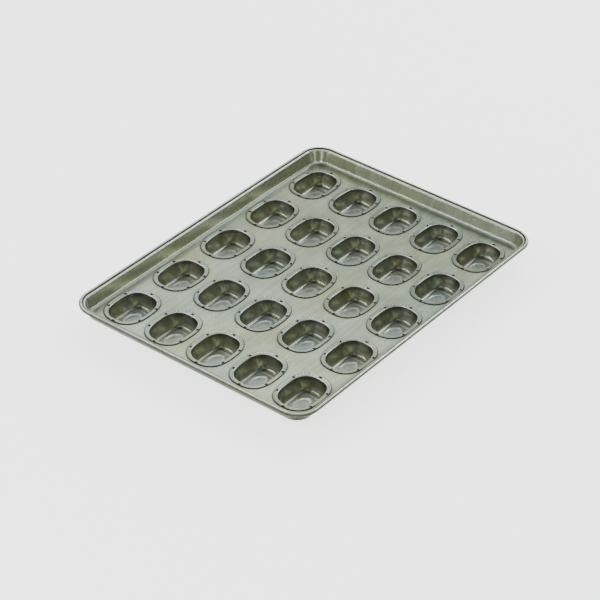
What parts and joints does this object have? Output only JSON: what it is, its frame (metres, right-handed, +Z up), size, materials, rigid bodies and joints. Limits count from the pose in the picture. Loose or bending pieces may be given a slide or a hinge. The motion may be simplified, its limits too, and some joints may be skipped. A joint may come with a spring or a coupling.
{
  "type": "multi-cavity baking tray",
  "caption": "Rectangular steel baking tray with a wired rim and a grid of oval pressed cups whose flanges are staked to the sheet.",
  "frame": {"origin": "under the middle of the tray, level with the undersides of the cups", "axes": "+X along the tray's length, +Y across it, +Z up out of the cups"},
  "size_m": [0.53, 0.38, 0.0412],
  "materials": {
    "sheet_steel": "satin, coated steel with fine brush lines and heat tint",
    "cup_steel": "semi-gloss, drawn and heat tinted",
    "wire_steel": "plain drawn wire"
  },
  "bodies": {
    "root": {"tray_sheet": "sheet_steel", "rim_wire": "wire_steel", "cup_r1_c1": "cup_steel", "cup_r1_c2": "cup_steel", "cup_r1_c3": "cup_steel", "cup_r1_c4": "cup_steel", "cup_r1_c5": "cup_steel", "cup_r2_c1": "cup_steel", "cup_r2_c2": "cup_steel", "cup_r2_c3": "cup_steel", "cup_r2_c4": "cup_steel", "cup_r2_c5": "cup_steel", "cup_r3_c1": "cup_steel", "cup_r3_c2": "cup_steel", "cup_r3_c3": "cup_steel", "cup_r3_c4": "cup_steel", "cup_r3_c5": "cup_steel", "cup_r4_c1": "cup_steel", "cup_r4_c2": "cup_steel", "cup_r4_c3": "cup_steel", "cup_r4_c4": "cup_steel", "cup_r4_c5": "cup_steel", "cup_r5_c1": "cup_steel", "cup_r5_c2": "cup_steel", "cup_r5_c3": "cup_steel", "cup_r5_c4": "cup_steel", "cup_r5_c5": "cup_steel"}
  },
  "joints": []
}
